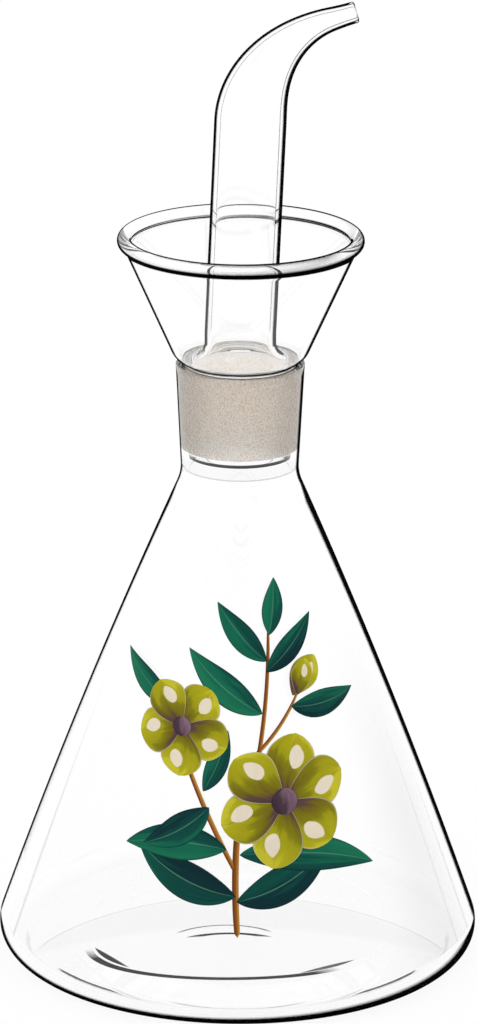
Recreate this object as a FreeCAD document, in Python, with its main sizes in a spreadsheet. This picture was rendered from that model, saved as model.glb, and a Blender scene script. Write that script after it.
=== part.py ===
# Anti-drip oil cruet of clear blown glass, in two pieces:
#   flask  - a conical body with a pushed-up bottom and a short neck with a ground bore
#   pourer - a ground plug, a drip-catching funnel and a bent, tapering spout, all one glass
# Millimetres. Z points up, the origin is the middle of the foot ring's plane, and the
# spout points to +X.
import FreeCAD, Part
import math
import os
import re

import Sketcher

# name, value, note
DRIVING_SIZES = [
    # flask
    ("baseRadius", 47.5, "widest radius, just above the foot"),
    ("heelRadius", 4.9, "rounding from the foot ring into the cone"),
    ("shoulderHeight", 98.0, "where the cone and the neck would meet in a sharp corner"),
    ("neckLength", 22.3, "neck from the shoulder's corner to its top"),
    ("neckWall", 1.63, "glass of the neck at its top"),
    ("coneBow", 1.0, "how far the cone's side bows out between heel and shoulder"),
    ("neckFillet", 9.0, "outer rounding between cone and neck"),
    ("boreRounding", 2.5, "rounding of the bore's lower edge"),
    ("wallBase", 2.0, "glass at the heel"),
    ("wallShoulder", 1.5, "glass of the cone at the shoulder"),
    ("puntRadius", 29.4, "rim of the pushed-up bottom"),
    ("puntHeight", 5.0, "rise of the pushed-up bottom at its middle"),
    ("footWidth", 3.0, "flat ring that the flask stands on"),
    ("footRise", 0.6, "rise from the foot ring to the rim of the pushed-up bottom"),
    ("floorThickness", 3.5, "glass in the middle of the bottom"),
    # ground joint
    ("jointTaper", 0.1, "loss of diameter for each millimetre of depth"),
    ("jointLength", 18.5, "length of the plug inside the neck"),
    ("jointClearance", 0.05, "gap all round between plug and bore"),
    ("plugRadius", 10.85, "plug at the level of the neck's top"),
    ("plugWall", 1.5, "glass of the plug"),
    ("seatLift", 0.3, "plug that stands above the neck before the funnel begins"),
    # funnel
    ("rimRadius", 23.87, "outside of the funnel's bead"),
    ("funnelHeight", 25.85, "top of the bead above the neck's top"),
    ("beadRadius", 1.35, "half the thickness of the bead"),
    ("funnelReach", 1.53, "funnel's outside beyond the plug, at the seat"),
    ("funnelWall", 1.2, "glass of the funnel"),
    ("funnelHeel", 4.5, "outer rounding at the foot of the funnel"),
    ("troughRise", 1.3, "lowest point of the trough, above the neck's top"),
    ("troughRounding", 0.8, "rounding between the trough and the funnel's wall"),
    ("troughFlat", 0.3, "least width of the trough's level floor"),
    ("cavityRounding", 1.0, "rounding inside, between plug and spout"),
    # spout
    ("tubeRadius", 6.93, "outside of the upright tube"),
    ("tubeWall", 1.15, "glass of the upright tube"),
    ("tubeFlare", 3.2, "rounding at the foot of the tube, less where there is no room"),
    ("tubeFoot", 5.0, "length of the tube's foot above the trough"),
    ("leanAngle", 2.35, "degrees that the tube leans towards the spout's side"),
    ("tubeLength", 41.9, "height of the tube from its foot to the start of the bend"),
    ("bendRadius", 21.7, "bend of the tube's middle line"),
    ("bendAngle", 70.5, "degrees that the bend turns"),
    ("tipLength", 5.0, "straight length after the bend"),
    ("tipRadius", 2.1, "outside of the tip"),
    ("tipWall", 0.9, "glass of the tip"),
    ("taperPower", 0.9, "below 1 the tube thins sooner after the start of the bend"),
    ("drainRadius", 1.0, "hole that lets caught drips run back"),
    ("drainAngle", 45.0, "degrees that the drain hole points above level"),
]

# name, formula
DERIVED_SIZES = [
    ("joinSlope", "jointTaper / 2"),
    ("neckHeight", "shoulderHeight + neckLength"),
    ("boreRadius", "plugRadius + jointClearance"),
    ("neckRadius", "boreRadius + neckWall"),
    ("heelCentre", "baseRadius - heelRadius"),
    ("footInner", "heelCentre - footWidth"),
    ("shoulderRadius", "neckRadius - joinSlope * (neckHeight - shoulderHeight)"),
    ("coneChord", "sqrt((baseRadius - shoulderRadius)^2 + (shoulderHeight - heelRadius)^2)"),
    ("coneArc", "coneChord^2 / (8 * coneBow) + coneBow / 2"),
    ("coneTopAngle", "atan((baseRadius - shoulderRadius) / (shoulderHeight - heelRadius))"
                     " + asin(coneChord / (2 * coneArc))"),
    ("innerShoulder", "(shoulderRadius + tan(coneTopAngle) * shoulderHeight"
                      " - wallShoulder / cos(coneTopAngle) - boreRadius"
                      " + joinSlope * neckHeight) / (tan(coneTopAngle) + joinSlope)"),
    ("plugBottom", "neckHeight - jointLength"),
    ("seatHeight", "neckHeight + seatLift"),
    ("seatRadius", "plugRadius + joinSlope * seatLift"),
    ("troughHeight", "neckHeight + troughRise"),
    ("tubeStart", "troughHeight + tubeFoot"),
    ("beadCentre", "rimRadius - beadRadius"),
    ("beadHeight", "neckHeight + funnelHeight - beadRadius"),
    ("funnelFoot", "seatRadius + funnelReach"),
    ("funnelSpan", "sqrt((beadCentre - funnelFoot)^2 + (beadHeight - seatHeight)^2)"),
    ("funnelLean", "atan((beadCentre - funnelFoot) / (beadHeight - seatHeight))"
                   " + asin(funnelWall / 2 / funnelSpan)"),
    ("troughCentre", "funnelFoot + tan(funnelLean) * (troughRise + troughRounding - seatLift)"
                     " - (funnelWall + troughRounding) / cos(funnelLean)"),
    ("flareRadius", "min(tubeFlare; troughCentre - tubeRadius - troughFlat)"),
    ("bendHeight", "tubeStart + tubeLength"),
    ("bendStart", "tubeLength * tan(leanAngle * 1 deg)"),
    ("taperLength", "bendRadius * bendAngle * pi / 180 + tipLength"),
]

BEND_SECTIONS = 10      # rings between the start and the end of the bend
TIP_SECTIONS = 2        # rings along the straight tip
FIRST_TURN = 30         # degrees; sets the turning axis, the sheet then sets the angle


def fillSheet(doc):
    """Writes the driving sizes as plain numbers and the derived ones as formulas."""
    sheet = doc.addObject("Spreadsheet::Sheet", "Sizes")
    row = 1
    for name, value, note in DRIVING_SIZES:
        sheet.set(f"A{row}", name)
        sheet.set(f"B{row}", str(value))
        sheet.set(f"C{row}", note)
        sheet.setAlias(f"B{row}", name)
        row += 1
    for name, formula in DERIVED_SIZES:
        sheet.set(f"A{row}", name)
        sheet.set(f"B{row}", "=" + formula)
        sheet.setAlias(f"B{row}", name)
        row += 1
    doc.recompute()
    return sheet


def numberIn(sheet, name):
    """A cell as a plain number, degrees for an angle."""
    value = sheet.get(name)
    return value.Value if hasattr(value, "Value") else float(value)


def inSheet(formula):
    """The same formula with every size written as a cell of the sheet."""
    names = {entry[0] for entry in DRIVING_SIZES + DERIVED_SIZES}

    def asCell(word):
        return "Sizes." + word[0] if word[0] in names else word[0]

    return re.sub(r"[A-Za-z]\w*", asCell, formula)


def point(x, y):
    return FreeCAD.Vector(x, y, 0)


def onCircle(centre, radius, degrees):
    angle = math.radians(degrees)
    return point(centre.x + radius * math.cos(angle), centre.y + radius * math.sin(angle))


class Profile:
    """A half section drawn on a body's XZ plane: x is the radius and y is the height.

    Geometry is drawn close to where it belongs and then held by constraints that read
    the sheet. Positions on an element: 1 is its start, 2 its end and 3 its centre.
    """

    START, END, CENTRE = 1, 2, 3
    ORIGIN = (-1, 1)
    UPRIGHT_AXIS = -2

    def __init__(self, body, name):
        self.sketch = body.newObject("Sketcher::SketchObject", name)
        planes = body.Origin.OriginFeatures
        plane = next(item for item in planes if item.Role == "XZ_Plane")
        self.sketch.AttachmentSupport = [(plane, "")]
        self.sketch.MapMode = "FlatFace"

    def line(self, start, end):
        return self.sketch.addGeometry(Part.LineSegment(start, end), False)

    def corner(self, x, y):
        """A helper point where two sides would meet without their rounding."""
        return self.sketch.addGeometry(Part.Point(point(x, y)), True)

    def arc(self, centre, radius, fromDegrees, toDegrees):
        circle = Part.Circle(centre, FreeCAD.Vector(0, 0, 1), radius)
        ends = math.radians(fromDegrees), math.radians(toDegrees)
        return self.sketch.addGeometry(Part.ArcOfCircle(circle, *ends), False)

    def hold(self, *constraint):
        return self.sketch.addConstraint(Sketcher.Constraint(*constraint))

    def join(self, first, second):
        self.hold("Coincident", *first, *second)

    def smooth(self, first, second):
        """Joins two ends without a corner."""
        self.hold("Tangent", *first, *second)

    def through(self, spot, element):
        self.hold("PointOnObject", *spot, element)

    def size(self, name, formula, kind, *where):
        """A dimension that follows the sheet, given as kind, places and first value."""
        index = self.hold(kind, *where)
        self.sketch.renameConstraint(index, name)
        self.sketch.setExpression(f"Constraints.{name}", inSheet(formula))

    def place(self, name, spot, x, y):
        """Holds a spot at a radius and a height, each as (formula, first value)."""
        self.size(name + "Radius", x[0], "DistanceX", *self.ORIGIN, *spot, x[1])
        self.size(name + "Height", y[0], "DistanceY", *self.ORIGIN, *spot, y[1])


def revolve(body, profile, name):
    """Turns a half section once round the upright axis."""
    feature = body.newObject("PartDesign::Revolution", name)
    feature.Profile = profile.sketch
    feature.ReferenceAxis = (profile.sketch, ["V_Axis"])
    feature.Angle = 360.0
    return feature


def drawFlask(body, size):
    """The flask's glass in half section, round from the punt to the floor inside."""
    START, END, CENTRE = Profile.START, Profile.END, Profile.CENTRE
    profile = Profile(body, "flaskSection")
    heel = point(size("heelCentre"), size("heelRadius"))
    coneLean = math.degrees(math.atan2(size("baseRadius") - size("shoulderRadius"),
                                       size("shoulderHeight") - size("heelRadius")))
    halfBow = math.degrees(math.asin(size("coneChord") / (2 * size("coneArc"))))
    lowAngle = coneLean - halfBow
    highAngle = coneLean + halfBow
    joinLean = math.degrees(math.atan(size("joinSlope")))
    shoulder = point(size("shoulderRadius"), size("shoulderHeight"))

    # underside: pushed-up dome, then the sole down to the flat foot ring
    rise = size("puntHeight") - size("footRise")
    domeRadius = (size("puntRadius") ** 2 + rise ** 2) / (2 * rise)
    domeCentre = point(0, size("puntHeight") - domeRadius)
    rimAngle = math.degrees(math.acos(size("puntRadius") / domeRadius))
    dome = profile.arc(domeCentre, domeRadius, rimAngle, 90)
    puntRim = point(size("puntRadius"), size("footRise"))
    sole = profile.line(puntRim, point(size("footInner"), 0))
    foot = profile.line(point(size("footInner"), 0), point(heel.x, 0))

    # outside: heel, bowed cone, fillet, neck
    outerHeel = profile.arc(heel, size("heelRadius"), -90, lowAngle)
    coneStart = onCircle(heel, size("heelRadius"), lowAngle)
    coneCentre = onCircle(coneStart, size("coneArc"), 180 + lowAngle)
    cone = profile.arc(coneCentre, size("coneArc"), lowAngle, highAngle)
    tangent = size("neckFillet") * math.tan(math.radians((highAngle + joinLean) / 2))
    filletTop = onCircle(shoulder, tangent, 90 - joinLean)
    filletCentre = onCircle(filletTop, size("neckFillet"), -joinLean)
    fillet = profile.arc(filletCentre, size("neckFillet"), 180 - joinLean, 180 + highAngle)
    mouth = point(size("neckRadius"), size("neckHeight"))
    neck = profile.line(filletTop, mouth)

    # inside: top land, ground bore, rounding, cone, heel, floor
    boreTop = point(size("boreRadius"), size("neckHeight"))
    land = profile.line(mouth, boreTop)
    depth = size("neckHeight") - size("innerShoulder")
    innerCorner = point(boreTop.x - size("joinSlope") * depth, size("innerShoulder"))
    tangent = size("boreRounding") * math.tan(math.radians((highAngle + joinLean) / 2))
    boreEnd = onCircle(innerCorner, tangent, 90 - joinLean)
    bore = profile.line(boreTop, boreEnd)
    roundingCentre = onCircle(boreEnd, size("boreRounding"), -joinLean)
    rounding = profile.arc(roundingCentre, size("boreRounding"), 180 - joinLean,
                           180 + highAngle)
    innerHeelRadius = size("heelRadius") - size("wallBase")
    innerStart = onCircle(heel, innerHeelRadius, lowAngle)
    innerArc = size("coneArc") - size("wallBase")
    innerCentre = onCircle(innerStart, innerArc, 180 + lowAngle)
    innerCone = profile.arc(innerCentre, innerArc, lowAngle, highAngle)
    floorTop = size("puntHeight") + size("floorThickness")
    drop = floorTop - heel.y
    floorRadius = ((heel.x ** 2 + drop ** 2 - innerHeelRadius ** 2)
                   / (2 * (drop + innerHeelRadius)))
    floorLean = math.degrees(math.atan2(heel.x, floorRadius - drop))
    innerHeel = profile.arc(heel, innerHeelRadius, -90 - floorLean, lowAngle)
    floorCentre = point(0, floorTop - floorRadius)
    floor = profile.arc(floorCentre, floorRadius, 90 - floorLean, 90)
    middle = profile.line(point(0, floorTop), point(0, size("puntHeight")))

    # what meets what
    profile.join((dome, START), (sole, START))
    profile.join((sole, END), (foot, START))
    profile.smooth((foot, END), (outerHeel, START))
    profile.smooth((outerHeel, END), (cone, START))
    profile.smooth((cone, END), (fillet, END))
    profile.smooth((fillet, START), (neck, START))
    profile.join((neck, END), (land, START))
    profile.join((land, END), (bore, START))
    profile.smooth((bore, END), (rounding, START))
    profile.smooth((rounding, END), (innerCone, END))
    profile.smooth((innerCone, START), (innerHeel, END))
    profile.smooth((innerHeel, START), (floor, START))
    profile.join((floor, END), (middle, START))
    profile.join((middle, END), (dome, END))
    profile.join((innerHeel, CENTRE), (outerHeel, CENTRE))
    for spot in ((dome, CENTRE), (dome, END), (floor, CENTRE), (floor, END)):
        profile.through(spot, Profile.UPRIGHT_AXIS)
    outerCorner = profile.corner(shoulder.x, shoulder.y)
    boreCorner = profile.corner(innerCorner.x, innerCorner.y)
    for spot, sides in ((outerCorner, (cone, neck)), (boreCorner, (innerCone, bore))):
        for side in sides:
            profile.through((spot, START), side)

    # sizes
    profile.place("heel", (outerHeel, CENTRE), ("heelCentre", heel.x),
                  ("heelRadius", heel.y))
    profile.hold("Horizontal", foot)
    profile.size("footRing", "footInner", "DistanceX", *Profile.ORIGIN, foot, START,
                 size("footInner"))
    profile.place("puntRim", (dome, START), ("puntRadius", puntRim.x),
                  ("footRise", puntRim.y))
    profile.place("shoulder", (outerCorner, START), ("shoulderRadius", shoulder.x),
                  ("shoulderHeight", shoulder.y))
    profile.place("boreCorner", (boreCorner, START),
                  ("boreRadius - joinSlope * (neckHeight - innerShoulder)", innerCorner.x),
                  ("innerShoulder", innerCorner.y))
    profile.place("mouth", (neck, END), ("neckRadius", mouth.x), ("neckHeight", mouth.y))
    profile.place("boreTop", (bore, START), ("boreRadius", boreTop.x),
                  ("neckHeight", boreTop.y))
    profile.size("puntTop", "puntHeight", "DistanceY", *Profile.ORIGIN, dome, END,
                 size("puntHeight"))
    profile.size("floorTop", "puntHeight + floorThickness", "DistanceY",
                 *Profile.ORIGIN, floor, END, floorTop)
    for name, formula, arc, value in (
            ("heelArc", "heelRadius", outerHeel, size("heelRadius")),
            ("coneBend", "coneArc", cone, size("coneArc")),
            ("neckRounding", "neckFillet", fillet, size("neckFillet")),
            ("boreEdge", "boreRounding", rounding, size("boreRounding")),
            ("innerBend", "coneArc - wallBase", innerCone, innerArc),
            ("innerHeelArc", "heelRadius - wallBase", innerHeel, innerHeelRadius)):
        profile.size(name, formula, "Radius", arc, value)
    return profile


def drawPourer(body, size):
    """Plug, funnel, trough and the tube's foot in half section, round the glass."""
    START, END, CENTRE = Profile.START, Profile.END, Profile.CENTRE
    profile = Profile(body, "pourerSection")
    joinLean = math.degrees(math.atan(size("joinSlope")))
    plugBottom = size("plugBottom")
    seat = size("seatHeight")

    def plugRadiusAt(height, wall):
        inward = wall / math.cos(math.radians(joinLean))
        return size("plugRadius") - size("joinSlope") * (size("neckHeight") - height) - inward

    # plug, from its lower edge up to the seat
    edgeIn = point(plugRadiusAt(plugBottom, size("plugWall")), plugBottom)
    edgeOut = point(plugRadiusAt(plugBottom, 0), plugBottom)
    edge = profile.line(edgeIn, edgeOut)
    seatOut = point(plugRadiusAt(seat, 0), seat)
    plug = profile.line(edgeOut, seatOut)

    # funnel's outside: its heel from the seat, then the wall up to the bead
    leanDegrees = size("funnelLean")
    lean = math.radians(leanDegrees)
    up = point(math.sin(lean), math.cos(lean))
    out = point(math.cos(lean), -math.sin(lean))
    bead = point(size("beadCentre"), size("beadHeight"))
    halfWall = size("funnelWall") / 2
    grip = math.sqrt(size("beadRadius") ** 2 - halfWall ** 2)
    outerTop = bead + out * halfWall - up * grip
    innerTop = bead - out * halfWall - up * grip
    gap = size("funnelReach") * out.x
    along = math.sqrt(size("funnelHeel") ** 2 - (size("funnelHeel") - gap) ** 2)
    heelEnd = seatOut + out * gap + up * along
    heelCentre = heelEnd - out * size("funnelHeel")
    heelFrom = seatOut - heelCentre
    heelStart = math.degrees(math.atan2(heelFrom.y, heelFrom.x))
    heel = profile.arc(heelCentre, size("funnelHeel"), heelStart, -leanDegrees)
    outerWall = profile.line(heelEnd, outerTop)

    # bead, then down the inside to the trough and up the tube's flared foot
    span = math.degrees(math.asin(halfWall / size("beadRadius")))
    downwards = -90 - leanDegrees
    rim = profile.arc(bead, size("beadRadius"), downwards + span, downwards + 360 - span)
    floorHeight = size("troughHeight")
    rounding = size("troughRounding")
    troughCentre = point(size("troughCentre"), floorHeight + rounding)
    innerWall = profile.line(innerTop, troughCentre + out * rounding)
    trough = profile.arc(troughCentre, rounding, -90, -leanDegrees)
    flare = size("flareRadius")
    flareCentre = point(size("tubeRadius") + flare, floorHeight + flare)
    level = profile.line(point(troughCentre.x, floorHeight), point(flareCentre.x, floorHeight))
    foot = profile.arc(flareCentre, flare, 180, 270)
    tubeTop = size("tubeStart")
    tubeOut = profile.line(flareCentre - point(flare, 0), point(size("tubeRadius"), tubeTop))
    boreX = size("tubeRadius") - size("tubeWall")
    ring = profile.line(point(size("tubeRadius"), tubeTop), point(boreX, tubeTop))

    # inside: down the bore, over the flare, round the cavity and down the plug
    innerFlare = flare + size("tubeWall")
    tubeIn = profile.line(point(boreX, tubeTop), flareCentre - point(innerFlare, 0))
    bend = size("cavityRounding")
    cavityX = plugRadiusAt(seat, size("plugWall")) - bend
    across = flareCentre.x - cavityX
    fall = math.sqrt((innerFlare + bend) ** 2 - across ** 2)
    cavityCentre = point(cavityX, flareCentre.y - fall)
    turn = math.degrees(math.atan2(fall, across))
    under = profile.arc(flareCentre, innerFlare, 180, 180 + turn)
    cavity = profile.arc(cavityCentre, bend, -joinLean, turn)
    plugIn = profile.line(onCircle(cavityCentre, bend, -joinLean), edgeIn)

    # what meets what
    profile.join((edge, END), (plug, START))
    profile.join((plug, END), (heel, START))
    profile.smooth((heel, END), (outerWall, START))
    profile.join((outerWall, END), (rim, START))
    profile.join((rim, END), (innerWall, START))
    profile.smooth((innerWall, END), (trough, END))
    profile.smooth((trough, START), (level, START))
    profile.smooth((level, END), (foot, END))
    profile.smooth((foot, START), (tubeOut, START))
    profile.join((tubeOut, END), (ring, START))
    profile.join((ring, END), (tubeIn, START))
    profile.smooth((tubeIn, END), (under, START))
    profile.smooth((under, END), (cavity, END))
    profile.smooth((cavity, START), (plugIn, START))
    profile.join((plugIn, END), (edge, START))
    profile.join((under, CENTRE), (foot, CENTRE))
    profile.hold("Horizontal", edge)
    profile.hold("Horizontal", ring)
    profile.hold("Vertical", tubeOut)
    profile.hold("Vertical", tubeIn)
    funnelFoot = profile.corner(size("funnelFoot"), seat)
    profile.through((funnelFoot, START), outerWall)
    profile.hold("Horizontal", level)
    profile.hold("Parallel", outerWall, innerWall)
    profile.hold("Parallel", plug, plugIn)

    # sizes
    profile.place("edge", (plug, START),
                  ("plugRadius - joinSlope * jointLength", edgeOut.x),
                  ("plugBottom", plugBottom))
    profile.place("seat", (plug, END), ("seatRadius", seatOut.x), ("seatHeight", seat))
    profile.place("funnelFoot", (funnelFoot, START), ("funnelFoot", size("funnelFoot")),
                  ("seatHeight", seat))
    profile.place("bead", (rim, CENTRE), ("beadCentre", bead.x), ("beadHeight", bead.y))
    profile.place("tubeRing", (tubeOut, END), ("tubeRadius", size("tubeRadius")),
                  ("tubeStart", tubeTop))
    profile.size("troughFloor", "troughHeight", "DistanceY", *Profile.ORIGIN, level, START,
                 floorHeight)
    profile.size("plugGlass", "plugWall", "Distance", edge, START, plug, size("plugWall"))
    profile.size("outerGlass", "funnelWall / 2", "Distance", rim, CENTRE, outerWall, halfWall)
    profile.size("innerGlass", "funnelWall / 2", "Distance", rim, CENTRE, innerWall, halfWall)
    for name, formula, arc, value in (
            ("beadArc", "beadRadius", rim, size("beadRadius")),
            ("funnelHeelArc", "funnelHeel", heel, size("funnelHeel")),
            ("troughArc", "troughRounding", trough, rounding),
            ("flareArc", "flareRadius", foot, flare),
            ("underArc", "flareRadius + tubeWall", under, innerFlare),
            ("cavityArc", "cavityRounding", cavity, bend)):
        profile.size(name, formula, "Radius", arc, value)
    return profile


def turnedAboutY():
    return FreeCAD.Placement(point(0, 0), FreeCAD.Rotation(point(0, 1), FIRST_TURN))


def drawTubeRing(body, name, at, size):
    """One ring of the tube: outer and inner circle, square to the tube's middle line.

    `at` holds formulas for the ring's x, height, turn from upright, radius and wall.
    """
    sketch = body.newObject("Sketcher::SketchObject", name)
    sketch.Placement = turnedAboutY()
    for label, formula, first in (("outer", at["radius"], size("tubeRadius")),
                                  ("inner", f"{at['radius']} - ({at['wall']})",
                                   size("tubeRadius") - size("tubeWall"))):
        circle = Part.Circle(point(0, 0), FreeCAD.Vector(0, 0, 1), first)
        index = sketch.addGeometry(circle, False)
        sketch.addConstraint(Sketcher.Constraint("Coincident", index, 3, -1, 1))
        radius = sketch.addConstraint(Sketcher.Constraint("Radius", index, first))
        sketch.renameConstraint(radius, label)
        sketch.setExpression(f"Constraints.{label}", inSheet(formula))
    sketch.setExpression("Placement.Base.x", inSheet(at["x"]))
    sketch.setExpression("Placement.Base.z", inSheet(at["height"]))
    sketch.setExpression("Placement.Rotation.Angle", inSheet(at["turn"]))
    return sketch


def loft(body, name, rings, ruled):
    feature = body.newObject("PartDesign::AdditiveLoft", name)
    feature.Profile = rings[0]
    feature.Sections = rings[1:]
    feature.Ruled = ruled
    return feature


def bendRing(share):
    """Ring at a share of the bend, 0 to 1: the tube thins along its whole length."""
    turn = f"(leanAngle + bendAngle * {share})"
    run = f"(bendRadius * bendAngle * {share} * pi / 180 / taperLength)"
    return {"x": f"bendStart + bendRadius * (cos(leanAngle * 1 deg) - cos({turn} * 1 deg))",
            "height": f"bendHeight + bendRadius * (sin({turn} * 1 deg)"
                      " - sin(leanAngle * 1 deg))",
            "turn": f"{turn} * 1 deg",
            "radius": taperRadius(run),
            "wall": f"tubeWall + (tipWall - tubeWall) * {run}"}


def tipRing(share):
    """Ring at a share of the straight tip, 0 to 1."""
    last = bendRing(1)
    run = f"(1 - tipLength * (1 - {share}) / taperLength)"
    ahead = f"tipLength * {share}"
    return {"x": f"{last['x']} + {ahead} * sin({last['turn']})",
            "height": f"{last['height']} + {ahead} * cos({last['turn']})",
            "turn": last["turn"],
            "radius": taperRadius(run),
            "wall": f"tubeWall + (tipWall - tubeWall) * {run}"}


def taperRadius(run):
    """Half a cosine wave from the tube's radius to the tip's, early by taperPower."""
    return f"tipRadius + (tubeRadius - tipRadius) * cos(90 deg * {run}^taperPower)^2"


def cutDrain(body):
    """Round hole from the trough to the cavity, through the tube's foot, at -X."""
    hole = body.newObject("PartDesign::SubtractiveCylinder", "drain")
    hole.Placement = turnedAboutY()
    middle = "(flareRadius + tubeWall / 2)"
    depth = "(2 * tubeWall)"
    centre = {"x": "-(tubeRadius + flareRadius - {0} * cos(drainAngle * 1 deg))",
              "z": "troughHeight + flareRadius - {0} * sin(drainAngle * 1 deg)"}
    start = f"({middle} + {depth} / 2)"
    for axis, formula in centre.items():
        hole.setExpression(f"Placement.Base.{axis}", inSheet(formula.format(start)))
    hole.setExpression("Placement.Rotation.Angle", inSheet("(drainAngle - 90) * 1 deg"))
    hole.setExpression("Radius", inSheet("drainRadius"))
    hole.setExpression("Height", inSheet(depth))
    return hole


def buildPourer(doc, size):
    body = doc.addObject("PartDesign::Body", "pourer")
    revolve(body, drawPourer(body, size), "plugAndFunnel")
    upright = {"x": "0", "height": "tubeStart", "turn": "0 deg", "radius": "tubeRadius",
               "wall": "tubeWall"}
    rings = [drawTubeRing(body, "tubeRing0", upright, size),
             drawTubeRing(body, "tubeRing1", bendRing(0), size)]
    loft(body, "tube", rings, True)
    places = [bendRing(index / BEND_SECTIONS) for index in range(BEND_SECTIONS + 1)]
    places += [tipRing((index + 1) / TIP_SECTIONS) for index in range(TIP_SECTIONS)]
    rings = [drawTubeRing(body, f"spoutRing{index}", place, size)
             for index, place in enumerate(places)]
    loft(body, "spout", rings, False)
    cutDrain(body)
    return body


def buildFlask(doc, size):
    body = doc.addObject("PartDesign::Body", "flask")
    revolve(body, drawFlask(body, size), "flaskGlass")
    return body


def checkDocument(doc, bodies):
    """Stops when an object failed to build or a body is not one sound solid."""
    for item in doc.Objects:
        if "Invalid" in item.State or "Error" in item.State:
            raise RuntimeError(f"{item.Label} failed to build")
    for body in bodies:
        shape = body.Shape
        if shape.isNull() or not shape.isValid() or len(shape.Solids) != 1:
            raise RuntimeError(f"{body.Label} is not one valid solid")


def main():
    doc = FreeCAD.newDocument("oil_bottle")
    sheet = fillSheet(doc)

    def size(name):
        return numberIn(sheet, name)

    bodies = [buildFlask(doc, size), buildPourer(doc, size)]
    doc.recompute()
    checkDocument(doc, bodies)
    os.makedirs("parts", exist_ok=True)
    for body in bodies:
        body.Shape.exportStep(f"parts/{body.Label}.step")
        print(body.Label, "glass", round(body.Shape.Volume / 1000, 1), "cubic centimetres")


main()
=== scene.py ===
import math

import bpy
import numpy as np
from mathutils import Matrix, Vector


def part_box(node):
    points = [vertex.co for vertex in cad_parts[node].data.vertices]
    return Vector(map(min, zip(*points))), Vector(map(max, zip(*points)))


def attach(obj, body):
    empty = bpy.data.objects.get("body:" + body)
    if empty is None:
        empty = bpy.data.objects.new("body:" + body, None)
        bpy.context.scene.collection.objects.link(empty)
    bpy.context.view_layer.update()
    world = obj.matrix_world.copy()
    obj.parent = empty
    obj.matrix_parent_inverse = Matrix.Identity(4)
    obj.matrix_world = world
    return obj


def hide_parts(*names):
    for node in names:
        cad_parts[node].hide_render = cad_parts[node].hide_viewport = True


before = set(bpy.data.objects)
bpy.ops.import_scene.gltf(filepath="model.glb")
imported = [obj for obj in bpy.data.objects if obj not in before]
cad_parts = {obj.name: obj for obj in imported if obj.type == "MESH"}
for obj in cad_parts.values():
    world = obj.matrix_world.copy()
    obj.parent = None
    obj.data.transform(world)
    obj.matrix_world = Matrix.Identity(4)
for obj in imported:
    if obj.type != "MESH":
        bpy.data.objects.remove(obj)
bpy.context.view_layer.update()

mm = 0.001
scene = bpy.context.scene
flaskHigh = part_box("flask")[1]
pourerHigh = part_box("pourer")[1]


def arcRun(centre, radius, fromDegrees, toDegrees, count):
    # points at even angles on a circle: centre + radius * (cos, sin)
    angle = np.radians(np.linspace(fromDegrees, toDegrees, count))
    return np.stack([centre[0] + radius * np.cos(angle), centre[1] + radius * np.sin(angle)], 1)


def onCircle(degrees):
    # the point at this angle on a circle of radius 1
    return np.array([math.cos(math.radians(degrees)), math.sin(math.radians(degrees))])


def bowedRun(start, end, radius, count):
    # a shallow arc between two ends: the chord plus a parabola of the arc's height
    start, end = np.array(start), np.array(end)
    chord = end - start
    share = np.linspace(0, 1, count)[:, None]
    bow = chord @ chord / 8 / radius
    side = np.array([-chord[1], chord[0]]) / math.sqrt(chord @ chord)
    return start + share * chord + side * bow * 4 * share * (1 - share)


def lineRun(start, end, count):
    # points at even steps between two ends
    share = np.linspace(0, 1, count)[:, None]
    return (1 - share) * np.array(start) + share * np.array(end)


def chain(runs):
    # runs of (points, finish, line) end to end; each run leaves out its last point, because
    # the next one starts there
    points = np.concatenate([run[0][:-1] for run in runs] + [runs[-1][0][-1:]])
    finish = np.repeat([run[1] for run in runs], [len(run[0]) - 1 for run in runs])
    line = np.concatenate([run[2][:-1] for run in runs] + [runs[-1][2][-1:]])
    return points, finish, line


def gridFaces(rows, columns, closedRows):
    # quads between neighbouring rings; the ring closes on itself, and with closedRows the
    # last ring meets the first
    row = np.arange(rows if closedRows else rows - 1)[:, None]
    column = np.arange(columns)[None, :]
    nextRow = (row + 1) % rows
    nextColumn = (column + 1) % columns
    corners = [row * columns + column, row * columns + nextColumn,
               nextRow * columns + nextColumn, nextRow * columns + column]
    return np.stack([np.broadcast_to(c, (len(row), columns)) for c in corners], 2)


def polarFaces(rows, columns):
    # quads of a grid of rings, and triangles to a pole at each end; the two poles come last
    column = np.arange(columns)
    after = (column + 1) % columns
    last = (rows - 1) * columns
    bottom, top = np.full(columns, rows * columns), np.full(columns, rows * columns + 1)
    return np.concatenate([np.stack([bottom, bottom, after, column], 1),
                           gridFaces(rows, columns, False).reshape(-1, 4),
                           np.stack([last + column, last + after, top, top], 1)])


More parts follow.
